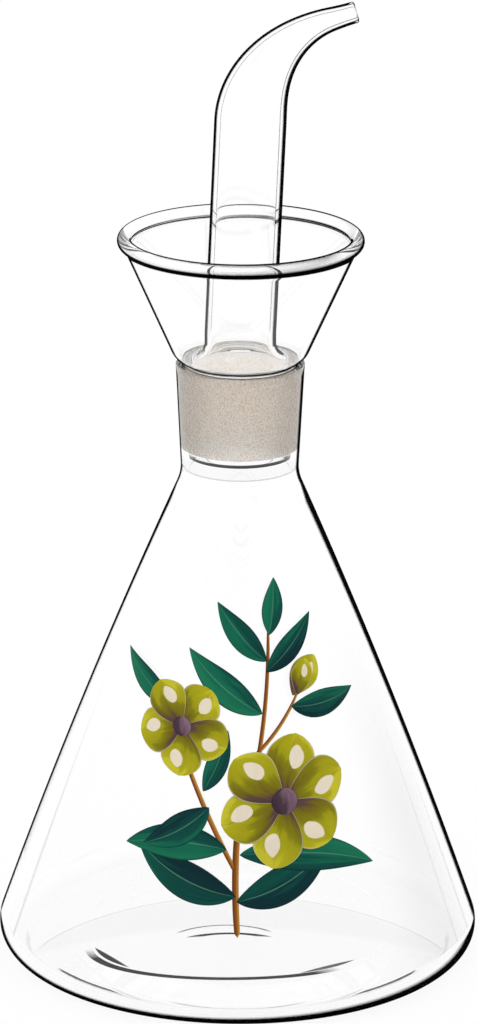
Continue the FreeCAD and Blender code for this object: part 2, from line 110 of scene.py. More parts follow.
def makePiece(name, verts, quads, materials, faceFinish=None, values=None):
    # one mesh object from arrays, faces turned outwards by the sign of the volume
    a, b, c, d = (verts[quads[:, i]] for i in range(4))
    volume = (np.einsum("ij,ij->i", a, np.cross(b, c)) + np.einsum("ij,ij->i", a, np.cross(c, d))).sum()
    if volume < 0:
        quads = quads[:, ::-1]
    same = quads == np.roll(quads, 1, 1)
    triangle = same.any(1)
    loops = quads[~same].astype(np.int32)
    sizes = np.where(triangle, 3, 4)
    mesh = bpy.data.meshes.new(name)
    mesh.vertices.add(len(verts))
    mesh.vertices.foreach_set("co", verts.astype(np.float32).ravel())
    mesh.loops.add(len(loops))
    mesh.loops.foreach_set("vertex_index", loops)
    mesh.polygons.add(len(sizes))
    mesh.polygons.foreach_set("loop_start", np.concatenate([[0], np.cumsum(sizes)[:-1]]).astype(np.int32))
    mesh.polygons.foreach_set("use_smooth", np.ones(len(sizes), bool))
    for material in materials:
        mesh.materials.append(material)
    if faceFinish is not None:
        mesh.polygons.foreach_set("material_index", faceFinish.astype(np.int32))
    for label, data in (values or {}).items():
        kind, field = ("FLOAT", "value") if data.ndim == 1 else ("FLOAT_VECTOR", "vector")
        mesh.attributes.new(label, kind, "POINT").data.foreach_set(field, data.astype(np.float32).ravel())
    mesh.update()
    mesh.validate()
    piece = bpy.data.objects.new(name, mesh)
    scene.collection.objects.link(piece)
    return piece


def srgb(hexText):
    # an sRGB hex value as linear colour
    value = np.array([int(hexText[i:i + 2], 16) / 255 for i in (0, 2, 4)])
    linear = np.where(value <= 0.04045, value / 12.92, ((value + 0.055) / 1.055) ** 2.4)
    return (*linear, 1.0)


def addNode(tree, kind, settings=None, links=None):
    # one node; settings are properties or input values, links are sockets that feed inputs
    node = tree.nodes.new(kind)
    for key, value in (settings or {}).items():
        if isinstance(key, int) or key in node.inputs:
            node.inputs[key].default_value = value
        else:
            setattr(node, key, value)
    for key, socket in (links or {}).items():
        tree.links.new(socket, node.inputs[key])
    return node


def newMaterial(name):
    # a material with an empty node tree
    material = bpy.data.materials.new(name)
    material.use_nodes = True
    material.node_tree.nodes.clear()
    return material, material.node_tree


glassLook = {
    "ior": 1.473,  # borosilicate
    # painted shade: colour of the dark lines where the glass is seen edge-on
    "edgeShadeColour": "0c0b0b",
    "lineCore": 0.65,  # share of a line's width that is fully dark
    "leastRadius": 0.5,  # millimetres; nearer the axis a surface counts as this far out
    "groundScatter": 0.08,  # share of the light that the grit scatters evenly
    "grit": 0.25,  # millimetres, coarser than real so that it shows
    "dullGrain": 0.44, "brightGrain": 0.54,  # noise values where a grain is dull or bright
}
grinds = {  # roughness, colour of the dull grains and of the bright ones
    "groundBorosilicate": (0.45, "e8dac9", "fffefc"),
    "fineGroundBorosilicate": (0.1, "fffdfb", "ffffff"),
}


def turnedLine(points, width):
    # twice the dark line's width times the curvature of a turned run of (radius, height)
    # points: first along the run, then round the axis; bulging counts as positive
    step = np.gradient(points, axis=0)
    length = np.hypot(*step.T)[:, None]
    unit = step / length
    outward = np.stack([unit[:, 1], -unit[:, 0]], 1)
    along = -(np.gradient(unit, axis=0) / length * outward).sum(1)
    around = unit[:, 1] / np.maximum(points[:, 0], glassLook["leastRadius"])
    return 2 * np.reshape(width, (-1, 1)) * np.stack([along, around], 1)


def tubeLine(rings, width):
    # the same for a bent tube's rings, where only the ring's radius counts
    return np.stack([0 * rings[:, 3], 2 * width / rings[:, 3]], 1)


def lineValues(line, angle, size):
    # the section's line values carried round, wider towards shadedSide as painted shade from that side
    swell = 1 + size["sideShade"] * np.cos(angle - math.radians(size["shadedSide"]))
    return {"alongLine": np.outer(line[:, 0], swell).ravel(),
            "roundLine": np.outer(line[:, 1], swell).ravel()}


def edgeLine(tree):
    # painted shade: darkness of the glass, 1 where it is seen edge-on, in a line as wide from any side.
    # Euler's formula gives the curvature towards the eye, k = along + share * (round - along),
    # with share = squared cosine between the ring's direction and the eye; the line ends
    # where the face's own squared cosine to the eye is 2 * width * k
    facing = addNode(tree, "ShaderNodeLayerWeight", {"Blend": 0.5})
    along = addNode(tree, "ShaderNodeAttribute", {"attribute_name": "alongLine"})
    around = addNode(tree, "ShaderNodeAttribute", {"attribute_name": "roundLine"})
    way = addNode(tree, "ShaderNodeAttribute", {"attribute_name": "roundWay"})
    ring = addNode(tree, "ShaderNodeLayerWeight", {"Blend": 0.5}, {"Normal": way.outputs["Vector"]})
    squares = []
    for weight in (facing, ring):
        cosine = addNode(tree, "ShaderNodeMath", {"operation": "SUBTRACT", 0: 1.0},
                         {1: weight.outputs["Facing"]})
        squares.append(addNode(tree, "ShaderNodeMath", {"operation": "POWER", 1: 2.0},
                               {0: cosine.outputs[0]}).outputs[0])
    line = addNode(tree, "ShaderNodeMix", links={0: squares[1], 2: along.outputs["Fac"],
                                                 3: around.outputs["Fac"]}).outputs[0]
    within = addNode(tree, "ShaderNodeMath", {"operation": "SUBTRACT"}, {0: line, 1: squares[0]})
    least = 0.0001  # keeps the division from dividing by nothing
    fade = addNode(tree, "ShaderNodeMath",
                   {"operation": "MULTIPLY_ADD", 1: 1 - glassLook["lineCore"], 2: least}, {0: line})
    held = addNode(tree, "ShaderNodeMath", {"operation": "MAXIMUM", 1: least}, {0: fade.outputs[0]})
    dark = addNode(tree, "ShaderNodeMath", {"operation": "DIVIDE", "use_clamp": True},
                   {0: within.outputs[0], 1: held.outputs[0]})
    return dark.outputs[0]


def darkened(tree, dark):
    # clear glass where dark is 0, the painted edge shade's colour where it is 1
    colour = addNode(tree, "ShaderNodeMix", {"data_type": "RGBA", 6: srgb("ffffff"),
                                             7: srgb(glassLook["edgeShadeColour"])}, {0: dark})
    return colour.outputs[2]


def darkest(tree, sockets):
    # the greatest of several values
    total = sockets[0]
    for socket in sockets[1:]:
        total = addNode(tree, "ShaderNodeMath", {"operation": "MAXIMUM"}, {0: total, 1: socket}).outputs[0]
    return total


def clearGlass(name, drawMarks=None):
    # borosilicate, blown and fire-polished: clear, with painted shade as dark lines where it is seen
    # edge-on; drawMarks adds a surface's grey marks, painted shade among them
    material, tree = newMaterial(name)
    dark = edgeLine(tree)
    if drawMarks:
        dark = darkest(tree, [dark, drawMarks(tree)])
    glass = addNode(tree, "ShaderNodeBsdfGlass", {"Roughness": 0.0, "IOR": glassLook["ior"]},
                    {"Color": darkened(tree, dark)})
    addNode(tree, "ShaderNodeOutputMaterial", links={"Surface": glass.outputs[0]})
    return material


def groundGlass(name):
    # the same glass ground with grit: matt, beige where light passes it, with a fine sparkle
    roughness, dull, bright = grinds[name]
    material, tree = newMaterial(name)
    place = addNode(tree, "ShaderNodeTexCoord")
    grain = addNode(tree, "ShaderNodeTexNoise",
                    {"Scale": 1 / (glassLook["grit"] * mm), "Detail": 2.0, "Roughness": 0.6},
                    {"Vector": place.outputs["Object"]})
    tint = addNode(tree, "ShaderNodeValToRGB", links={"Fac": grain.outputs["Fac"]})
    low, high = tint.color_ramp.elements
    low.position, low.color = glassLook["dullGrain"], srgb(dull)
    high.position, high.color = glassLook["brightGrain"], srgb(bright)
    relief = addNode(tree, "ShaderNodeBump", {"Strength": roughness, "Distance": glassLook["grit"] * mm},
                     {"Height": grain.outputs["Fac"]})
    glass = addNode(tree, "ShaderNodeBsdfGlass", {"Roughness": roughness, "IOR": glassLook["ior"]},
                    {"Color": tint.outputs["Color"], "Normal": relief.outputs["Normal"]})
    scatter = addNode(tree, "ShaderNodeBsdfTranslucent", links={"Color": tint.outputs["Color"]})
    matt = addNode(tree, "ShaderNodeMixShader", {0: glassLook["groundScatter"]},
                   {1: glass.outputs[0], 2: scatter.outputs[0]})
    addNode(tree, "ShaderNodeOutputMaterial", links={"Surface": matt.outputs[0]})
    return material


marks = {
    # painted shade and reflection in the bottom, as dark arcs: centre x and y, half widths in x and y,
    # millimetres; middle and half range of the arc, degrees; share of the half width that the line takes;
    # darkness
    "baseShadeArcs": [
        (-1.3, -15.0, 28.0, 17.3, -107, 66, 0.026, 1.0),
        (-1.3, -14.6, 26.0, 16.6, -155, 12, 0.030, 1.0),
        (-1.3, -14.8, 26.2, 16.4, -44, 8, 0.035, 0.9),
        (1.0, -15.0, 40.5, 15.8, 90, 88, 0.008, 0.22),
        (1.0, -15.0, 20.2, 7.9, 90, 90, 1.0, 0.045),
        (-2.6, -18.0, 10.8, 5.2, 90, 60, 0.035, 0.8),
        (-1.7, -18.4, 8.2, 2.2, 90, 62, 0.160, 1.0),
    ],
    "arcCore": 0.8,  # share of an arc's half range that is fully dark
    # streaks up the cone, the wide first one painted shade: azimuth and half width, degrees; height where
    # it ends, millimetres; darkness
    "wallStreaks": [(-26, 24, 70, 0.11), (-21, 1.6, 64, 0.2), (-162, 1.2, 58, 0.25), (-12, 1.2, 45, 0.25)],
    "streakCore": 0.5,  # share of a streak's height that is fully dark
    # rings under the bore: height and half width, millimetres; darkness
    "neckRings": [(99.4, 0.14, 0.35), (100.6, 1.2, 0.05)],
}


def baseShadeRings(tree):
    # painted shade and reflection round the bottom's middle, on front faces only: ellipses in x and y, dark
    # where their own radius |(x - centre) / half width| is near 1, cut to an arc by the cosine to its
    # middle
    place = addNode(tree, "ShaderNodeTexCoord")
    arcs = []
    for x, y, halfX, halfY, middle, halfRange, width, darkness in marks["baseShadeArcs"]:
        scaled = addNode(tree, "ShaderNodeMapping",
                         {"vector_type": "TEXTURE", "Location": (x * mm, y * mm, 0),
                          "Scale": (halfX * mm, halfY * mm, 1e6)}, {"Vector": place.outputs["Object"]})
        radius = addNode(tree, "ShaderNodeVectorMath", {"operation": "LENGTH"},
                         {0: scaled.outputs["Vector"]})
        toMiddle = addNode(tree, "ShaderNodeVectorMath",
                           {"operation": "DOT_PRODUCT", 1: (*onCircle(middle), 0)},
                           {0: scaled.outputs["Vector"]})
        line = addNode(tree, "ShaderNodeMath", {"operation": "COMPARE", 1: 1.0, 2: width},
                       {0: radius.outputs["Value"]})
        arc = addNode(tree, "ShaderNodeMapRange",
                      {"From Min": math.cos(math.radians(halfRange)),
                       "From Max": math.cos(math.radians(halfRange * marks["arcCore"])),
                       "To Max": darkness}, {"Value": toMiddle.outputs["Value"]})
        arcs.append(addNode(tree, "ShaderNodeMath", {"operation": "MULTIPLY"},
                            {0: line.outputs[0], 1: arc.outputs["Result"]}).outputs[0])
    side = addNode(tree, "ShaderNodeNewGeometry")
    front = addNode(tree, "ShaderNodeMath", {"operation": "SUBTRACT", 0: 1.0},
                    {1: side.outputs["Backfacing"]})
    return addNode(tree, "ShaderNodeMath", {"operation": "MULTIPLY"},
                   {0: darkest(tree, arcs), 1: front.outputs[0]}).outputs[0]


def streakMarks(tree):
    # grey streaks up the cone, 1 - |azimuth - middle| / half width, fading out towards a height, the wide
    # one painted shade on the cone's right side, and faint rings round the wall under the bore
    place = addNode(tree, "ShaderNodeTexCoord")
    parts = addNode(tree, "ShaderNodeSeparateXYZ", links={0: place.outputs["Object"]})
    azimuth = addNode(tree, "ShaderNodeMath", {"operation": "ARCTAN2"},
                      {0: parts.outputs["Y"], 1: parts.outputs["X"]})
    found = []
    for middle, half, top, darkness in marks["wallStreaks"]:
        away = addNode(tree, "ShaderNodeMath", {"operation": "SUBTRACT", 1: math.radians(middle)},
                       {0: azimuth.outputs[0]})
        distance = addNode(tree, "ShaderNodeMath", {"operation": "ABSOLUTE"}, {0: away.outputs[0]})
        near = addNode(tree, "ShaderNodeMapRange",
                       {"From Min": math.radians(half), "From Max": 0.0,
                        "interpolation_type": "SMOOTHSTEP"}, {"Value": distance.outputs[0]})
        low = addNode(tree, "ShaderNodeMapRange",
                      {"From Min": top * mm, "From Max": marks["streakCore"] * top * mm,
                       "To Max": darkness}, {"Value": parts.outputs["Z"]})
        found.append(addNode(tree, "ShaderNodeMath", {"operation": "MULTIPLY"},
                             {0: near.outputs["Result"], 1: low.outputs["Result"]}).outputs[0])
    for height, half, darkness in marks["neckRings"]:
        ring = addNode(tree, "ShaderNodeMath", {"operation": "COMPARE", 1: height * mm, 2: half * mm},
                       {0: parts.outputs["Z"]})
        found.append(addNode(tree, "ShaderNodeMath", {"operation": "MULTIPLY", 1: darkness},
                             {0: ring.outputs[0]}).outputs[0])
    return darkest(tree, found)


clear = clearGlass("clearBorosilicate")
flaskFinishes = [clear, groundGlass("groundBorosilicate"), clearGlass("streakedBorosilicate", streakMarks),
                 clearGlass("baseShadedBorosilicate", baseShadeRings)]
pourerFinishes = [clear, groundGlass("fineGroundBorosilicate")]
clearFinish, groundFinish, streakedFinish, baseShadedFinish = range(4)
print("glass mixed")


joint = {  # millimetres; the neck's bore and the plug in it
    "plugRadius": 10.85, "clearance": 0.05,  # at the neck's mouth
    "slope": 0.05,  # radius over height, a taper of 1 in 10
    "groundDepth": 16.9,  # how far down from the mouth both are ground
}
joinLean = math.degrees(math.atan(joint["slope"]))
upJoint = np.array([joint["slope"], 1])  # the way up along the joint, for 1 mm of height


flask = {  # millimetres
    "heelRadius": 4.9, "footWidth": 3.0, "footRise": 0.6,
    "shoulderHeight": 98.0, "coneBow": 1.0, "neckFillet": 9.0, "neckWall": 1.63, "boreRounding": 2.5,
    "wallBase": 2.0, "wallShoulder": 1.5,
    "puntRadius": 29.4, "puntHeight": 5.0, "floorThickness": 3.5,
    "lipRounding": 0.3, "around": 320,
    # width of the painted dark edge shade where the glass is seen edge-on; highLine is added at the cone's
    # top
    "heelLine": 0.9, "outerLine": 0.7, "highLine": 0.35, "highPower": 3, "neckLine": 0.5,
    "outerLipLine": 0.05, "innerLipLine": 0.25, "roundingLine": 0.05, "innerLine": 0.08,
    "sideShade": 0.45, "shadedSide": -35,  # painted shade: the dark line is wider towards one side; the wall itself is even all round
}


def angleFrom(centre, spot):
    # direction from the centre to the spot, degrees
    return math.degrees(math.atan2(spot[1] - centre[1], spot[0] - centre[0]))


def coneCircle(heel, heelRadius, corner, radius):
    # centre of the circle of this radius through the corner that the heel's circle touches
    # from inside: its distances to both are known, so two circles cross there
    reach = radius - heelRadius
    distance = math.hypot(*(corner - heel))
    unit = (corner - heel) / distance
    along = (reach ** 2 - radius ** 2 + distance ** 2) / (2 * distance)
    aside = math.sqrt(reach ** 2 - along ** 2)
    return heel + along * unit - aside * np.array([unit[1], -unit[0]])


def flaskCone(size):
    # the heel's centre, the corners cone to neck and neck to lip before they are rounded, the
    # cone's radius = chord ** 2 / (8 * bow) + bow / 2, its lean at the top and its centre
    heelRadius, neckHeight = size["heelRadius"], flaskHigh.z / mm
    heel = np.array([flaskHigh.x / mm - heelRadius, heelRadius])
    mouth = np.array([joint["plugRadius"] + joint["clearance"] + size["neckWall"], neckHeight])
    shoulder = mouth - (neckHeight - size["shoulderHeight"]) * upJoint
    run, climb = heel[0] + heelRadius - shoulder[0], shoulder[1] - heelRadius
    chord = math.hypot(run, climb)
    radius = chord ** 2 / (8 * size["coneBow"]) + size["coneBow"] / 2
    topLean = math.degrees(math.atan2(run, climb) + math.asin(chord / 2 / radius))
    return heel, shoulder, mouth, radius, topLean, coneCircle(heel, heelRadius, shoulder, radius)


def flaskOutside(size):
    # from the punt's middle out under the foot and up to the lip, each arc touching its
    # neighbours; a run's last number is its count of points
    heel, shoulder, mouth, coneRadius, topLean, coneCentre = flaskCone(size)
    rise = size["puntHeight"] - size["footRise"]
    domeRadius = (size["puntRadius"] ** 2 + rise ** 2) / (2 * rise)
    rimAngle = math.degrees(math.acos(size["puntRadius"] / domeRadius))
    dome = arcRun((0, size["puntHeight"] - domeRadius), domeRadius, 90, rimAngle, 24)
    sole = lineRun((size["puntRadius"], size["footRise"]), (heel[0] - size["footWidth"], 0), 8)
    foot = lineRun(sole[-1], (heel[0], 0), 4)
    low = angleFrom(coneCentre, heel)
    outerHeel = arcRun(heel, size["heelRadius"], -90, low, 40)

    # the fillet's centre lies its own radius outside the neck's line and outside the cone's circle
    fromCone = shoulder + size["neckFillet"] * onCircle(-joinLean) - coneCentre
    down = fromCone @ onCircle(90 - joinLean)
    climb = math.sqrt(down ** 2 - fromCone @ fromCone + (coneRadius + size["neckFillet"]) ** 2) - down
    filletCentre = coneCentre + fromCone + climb * onCircle(90 - joinLean)
    coneEnd = angleFrom(coneCentre, filletCentre)
    cone = arcRun(coneCentre, coneRadius, low, coneEnd, 32)
    fillet = arcRun(filletCentre, size["neckFillet"], 180 + coneEnd, 180 - joinLean, 16)
    lip = size["lipRounding"]
    neck = lineRun(fillet[-1], mouth - lip * upJoint, 16)
    outerLip = arcRun(mouth - lip, lip, 0, 90, 5)
    coneLine = size["outerLine"] + size["highLine"] * np.linspace(0, 1, len(cone)) ** size["highPower"]
    runs = [(dome, 0), (sole, 0), (foot, 0), (outerHeel, size["heelLine"]), (cone, coneLine),
            (fillet, size["outerLine"]), (neck, size["neckLine"]), (outerLip, size["outerLipLine"])]
    return [(run, clearFinish, width) for run, width in runs]


def flaskInside(size, start):
    # from the lip down the bore and the cone to the middle of the floor
    heel, shoulder, mouth, coneRadius, topLean, coneCentre = flaskCone(size)
    lip, slope = size["lipRounding"], joint["slope"]
    boreTop = np.array([joint["plugRadius"] + joint["clearance"], mouth[1]])
    land = lineRun(start, boreTop + (lip, 0), 4)
    innerLip = arcRun(boreTop + (lip, -lip), lip, 90, 180, 5)
    bore = lineRun(innerLip[-1], boreTop - joint["groundDepth"] * upJoint, 16)

    # corner is the height where bore and inner cone would meet without their rounding
    steep = math.tan(math.radians(topLean))
    corner = ((shoulder[0] + steep * shoulder[1] - size["wallShoulder"] / math.cos(math.radians(topLean))
               - boreTop[0] + slope * mouth[1]) / (steep + slope))
    reach = size["boreRounding"] * math.tan(math.radians(topLean + joinLean) / 2)
    boreEnd = boreTop - (mouth[1] - corner - reach) * upJoint
    below = lineRun(bore[-1], boreEnd, 4)
    rounding = arcRun(boreEnd + size["boreRounding"] * onCircle(-joinLean), size["boreRounding"],
                      180 - joinLean, 180 + topLean, 12)
    heelRadius, low = size["heelRadius"] - size["wallBase"], angleFrom(coneCentre, heel)
    innerCone = bowedRun(rounding[-1], heel + heelRadius * onCircle(low), coneRadius - size["wallBase"], 32)

    # the floor's circle is centred on the axis and touches the inner heel's
    floorTop = size["puntHeight"] + size["floorThickness"]
    drop = floorTop - heel[1]
    floorRadius = (heel[0] ** 2 + drop ** 2 - heelRadius ** 2) / (2 * (drop + heelRadius))
    floorLean = math.degrees(math.atan2(heel[0], floorRadius - drop))
    innerHeel = arcRun(heel, heelRadius, low, -90 - floorLean, 32)
    floor = arcRun((0, floorTop - floorRadius), floorRadius, 90 - floorLean, 90, 36)
    return [(land, clearFinish, 0), (innerLip, clearFinish, size["innerLipLine"]), (bore, groundFinish, 0),
            (below, streakedFinish, 0), (rounding, streakedFinish, size["roundingLine"]),
            (innerCone, streakedFinish, size["innerLine"]), (innerHeel, clearFinish, 0),
            (floor, baseShadedFinish, 0)]


def makeFlask(size):
    # the half section turned once round the upright axis: (r cos a, r sin a, z)
    outside = flaskOutside(size)
    runs = outside + flaskInside(size, outside[-1][0][-1])
    points, finish, line = chain([(run, finish, turnedLine(run, width)) for run, finish, width in runs])
    around = size["around"]
    angle = np.linspace(0, 2 * np.pi, around, endpoint=False)
    radius, height = points[1:-1, 0], points[1:-1, 1]
    rings = np.stack([np.outer(radius, np.cos(angle)), np.outer(radius, np.sin(angle)),
                      np.repeat(height[:, None], around, 1)], 2).reshape(-1, 3)
    poles = np.array([[0, 0, points[0, 1]], [0, 0, points[-1, 1]]])
    faces = polarFaces(len(radius), around)
    way = np.stack([-np.sin(angle), np.cos(angle), 0 * angle], 1)
    values = lineValues(line[1:-1], angle, size)
    values["roundWay"] = np.tile(way, (len(radius), 1))
    values = {label: np.concatenate([data, np.zeros((2, *data.shape[1:]))])
              for label, data in values.items()}
    return makePiece("flaskGlass", np.concatenate([rings, poles]) * mm, faces, flaskFinishes,
                     np.repeat(finish, around), values)


flaskGlass = makeFlask(flask)
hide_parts("flask")
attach(flaskGlass, "root")
print("flask made")


pourer = {  # millimetres and degrees
    "plugLength": 18.5, "plugWall": 1.5, "seatLift": 0.3, "edgeRounding": 0.55,
    "beadRadius": 1.35, "funnelHeight": 25.85, "funnelReach": 1.53, "funnelWall": 1.2, "funnelHeel": 4.5,
    "troughRise": 1.3, "troughRounding": 0.8, "cavityRounding": 1.0,
    "tubeRadius": 6.93, "tubeWall": 1.15, "tubeFlare": 3.2, "tubeFoot": 5.0, "tubeLean": 2.35,
    "tubeLength": 41.9, "bendRadius": 21.7, "bendAngle": 70.5,
    "tipLength": 5.0, "tipRadius": 2.1, "tipWall": 0.9, "taperPower": 0.9, "tubeRings": 90, "around": 224,
    "drainStart": (-6.65, 0, 121.3), "drainReach": (-1, 3.2), "drainRadius": 1.0, "drainLean": 45,
    "drainAround": 32,
    # width of the painted dark edge shade where the glass is seen edge-on
    "tubeLine": 0.85, "tipLine": 0.2, "funnelLine": 0.6, "innerLine": 0.2, "cavityLine": 0.12,
    "beadTopLine": 0.27, "beadLowLine": 0.63, "plugInnerLine": 0.3, "plugEdgeLine": 0.5,
    "beadRootLine": 0.4, "rootAngle": 248, "rootRange": 25,  # share added where the bead leaves the wall
    "heelShare": 0.3,  # the heel's underside reflects the pale neck, so its line is thin
    # painted shade: the dark lines are wider towards shadedSide
    "sideShade": 0.2, "shadedSide": -35,
}


def plugAt(height):
    # the plug's radius at a height: it narrows downwards by the joint's slope
    return joint["plugRadius"] - joint["slope"] * (flaskHigh.z / mm - height)


def plugCorner(size, depth, wall):
    # a corner of the plug at this depth under the mouth, and this far in from the ground face
    height = flaskHigh.z / mm - depth
    return np.array([plugAt(height) - wall / math.cos(math.radians(joinLean)), height])


def flareCentre(size):
    # centre of the rounding between the trough's floor and the tube
    floorHeight = flaskHigh.z / mm + size["troughRise"]
    return np.array([size["tubeRadius"], floorHeight]) + size["tubeFlare"]


def tubeRun(size, start, shares, inside):
    # rings along the tube for shares 0 to 1 of its length: a straight part, an arc and a
    # straight tip; the radius falls as a cosine squared once the bend begins
    lean, turn = math.radians(size["tubeLean"]), math.radians(size["bendAngle"])
    straight, arc, tip = size["tubeLength"], size["bendRadius"] * turn, size["tipLength"]
    along = shares * (straight + arc + tip)
    onArc = np.clip(along - straight, 0, arc)
    onTip = np.clip(along - straight - arc, 0, None)
    rising = np.clip(along / straight, 0, 1)
    tilt = lean * rising + onArc / size["bendRadius"]
    bent = lean + onArc / size["bendRadius"]
    x = (straight * math.tan(lean) * rising + size["bendRadius"] * (math.cos(lean) - np.cos(bent))
         + onTip * math.sin(lean + turn))
    z = (start + straight * rising + size["bendRadius"] * (np.sin(bent) - math.sin(lean))
         + onTip * math.cos(lean + turn))
    thinned = np.clip((along - straight) / (arc + tip), 0, 1)
    radius = size["tipRadius"] + (size["tubeRadius"] - size["tipRadius"]) * np.cos(
        np.pi / 2 * thinned ** size["taperPower"]) ** 2
    wall = size["tubeWall"] + (size["tipWall"] - size["tubeWall"]) * thinned
    return np.stack([x, z, tilt, radius - wall * inside], 1)


def uprightRun(points):
    # rings of a turned surface, from (radius, height) points
    nothing = np.zeros(len(points))
    return np.stack([nothing, points[:, 1], nothing, points[:, 0]], 1)


def funnelRuns(size):
    # up from the plug's lower edge over the ground face, the funnel's wall, its bead, the
    # trough and the flare to the tube's foot; a run's last number is its count of points
    rounding = size["edgeRounding"]
    seat = plugCorner(size, -size["seatLift"], 0)
    groundEnd = seat - (joint["groundDepth"] + size["seatLift"]) * upJoint
    plugEnd = lineRun(plugCorner(size, size["plugLength"], 0) + (0, rounding), groundEnd, 3)
    plug = lineRun(groundEnd, seat, 16)

    # the wall leans so that its middle meets the bead's
    bead = np.array([pourerHigh.y / mm, flaskHigh.z / mm + size["funnelHeight"]]) - size["beadRadius"]
    foot = seat + (size["funnelReach"], 0)
    halfWall = size["funnelWall"] / 2
    lean = math.atan2(*(bead - foot)) + math.asin(halfWall / math.hypot(*(bead - foot)))
    leanDegrees = math.degrees(lean)
    up, out = onCircle(90 - leanDegrees), onCircle(-leanDegrees)
    grip = math.sqrt(size["beadRadius"] ** 2 - halfWall ** 2)
    gap = size["funnelReach"] * out[0]
    along = math.sqrt(size["funnelHeel"] ** 2 - (size["funnelHeel"] - gap) ** 2)
    heelEnd = seat + out * gap + up * along
    heelCentre = heelEnd - out * size["funnelHeel"]
    heel = arcRun(heelCentre, size["funnelHeel"], angleFrom(heelCentre, seat), -leanDegrees, 12)
    outerWall = lineRun(heelEnd, bead + out * halfWall - up * grip, 24)
    half = math.degrees(math.asin(halfWall / size["beadRadius"]))
    beadRun = arcRun(bead, size["beadRadius"], -90 - leanDegrees + half, 270 - leanDegrees - half, 32)

    centre = flareCentre(size)
    floorHeight = centre[1] - size["tubeFlare"]
    troughZ = floorHeight + size["troughRounding"]
    trough = np.array([foot[0] + math.tan(lean) * (troughZ - seat[1])
                       - (size["funnelWall"] + size["troughRounding"]) / math.cos(lean), troughZ])
    innerWall = lineRun(beadRun[-1], trough + out * size["troughRounding"], 24)
    troughRun = arcRun(trough, size["troughRounding"], -leanDegrees, -90, 8)
    level = lineRun(troughRun[-1], (centre[0], floorHeight), 4)
    flare = arcRun(centre, size["tubeFlare"], 270, 180, 16)
    tubeOut = lineRun(flare[-1], (size["tubeRadius"], floorHeight + size["tubeFoot"]), 3)

    # the bead's line is wider below than on top, and widest where the bead leaves the wall
    face = np.linspace(-90 - leanDegrees, 270 - leanDegrees, len(beadRun))
    low = 0.5 - 0.5 * np.sin(np.radians(face))
    beadLine = size["beadTopLine"] + (size["beadLowLine"] - size["beadTopLine"]) * low
    beadLine *= 1 + size["beadRootLine"] * np.exp(-((face - size["rootAngle"]) / size["rootRange"]) ** 2)
    funnelLine, tubeWidth = size["funnelLine"], size["tubeLine"]
    runs = [(plugEnd, 0), (plug, 0), (heel, funnelLine), (outerWall, funnelLine), (beadRun, beadLine),
            (innerWall, 0), (troughRun, 0), (level, 0), (flare, tubeWidth), (tubeOut, tubeWidth)]
    runs = [(uprightRun(run), groundFinish if run is plug else clearFinish, turnedLine(run, width))
            for run, width in runs]
    runs[2][2][:, 0] *= size["heelShare"]
    runs[0][2][0, 0] = 2 * size["plugEdgeLine"] / rounding     # the edge's line goes on a little way up
    return runs


def spoutRuns(size):
    # out along the tube, round its tip and back along its bore; the tip's half circle ends
    # where the tube does, so the runs stop that much short
    start = flareCentre(size)[1] - size["tubeFlare"] + size["tubeFoot"]
    halfTip = size["tipWall"] / 2
    end = tubeRun(size, start, np.array([1.0]), 0)[0]
    around = np.radians(np.linspace(0, 180, 9))
    push = halfTip * np.sin(around) - halfTip
    tip = np.stack([end[0] + push * math.sin(end[2]), end[1] + push * math.cos(end[2]),
                    np.full(9, end[2]), end[3] - halfTip + halfTip * np.cos(around)], 1)
    length = size["tubeLength"] + math.radians(size["bendAngle"]) * size["bendRadius"] + size["tipLength"]
    shares = np.linspace(0, 1, size["tubeRings"]) * (1 - halfTip / length)
    runs = [(tubeRun(size, start, shares, 0), size["tubeLine"]), (tip, size["tipLine"]),
            (tubeRun(size, start, shares[::-1], 1), size["innerLine"])]
    return [(run, clearFinish, tubeLine(run, width)) for run, width in runs]


def insideRuns(size):
    # down inside the flare, round the top of the plug's hollow, down it and round its lower edge
    centre, rounding, bend = flareCentre(size), size["edgeRounding"], size["cavityRounding"]
    innerFlare = size["tubeFlare"] + size["tubeWall"]
    start = np.array([size["tubeRadius"] - size["tubeWall"],
                      centre[1] - size["tubeFlare"] + size["tubeFoot"]])
    tubeIn = lineRun(start, centre - (innerFlare, 0), 3)
    across = centre[0] - plugCorner(size, -size["seatLift"], size["plugWall"])[0] + bend
    fall = math.sqrt((innerFlare + bend) ** 2 - across ** 2)
    turn = math.degrees(math.atan2(fall, across))
    under = arcRun(centre, innerFlare, 180, 180 + turn, 16)
    cavityRun = arcRun(centre - (across, fall), bend, turn, -joinLean, 12)
    edgeIn = plugCorner(size, size["plugLength"], size["plugWall"])
    edgeOut = plugCorner(size, size["plugLength"], 0)
    plugIn = lineRun(cavityRun[-1], edgeIn + rounding * upJoint, 16)
    innerEdge = arcRun(edgeIn + rounding, rounding, 180, 270, 4)
    edge = lineRun(innerEdge[-1], edgeOut - (rounding, 0), 4)
    outerEdge = arcRun(edgeOut + (-rounding, rounding), rounding, 270, 360, 4)
    runs = [(tubeIn, size["innerLine"]), (under, size["innerLine"]), (cavityRun, size["cavityLine"]),
            (plugIn, 0), (innerEdge, size["plugInnerLine"]), (edge, 0), (outerEdge, size["plugEdgeLine"])]
    return [(uprightRun(run), clearFinish, turnedLine(run, width)) for run, width in runs]


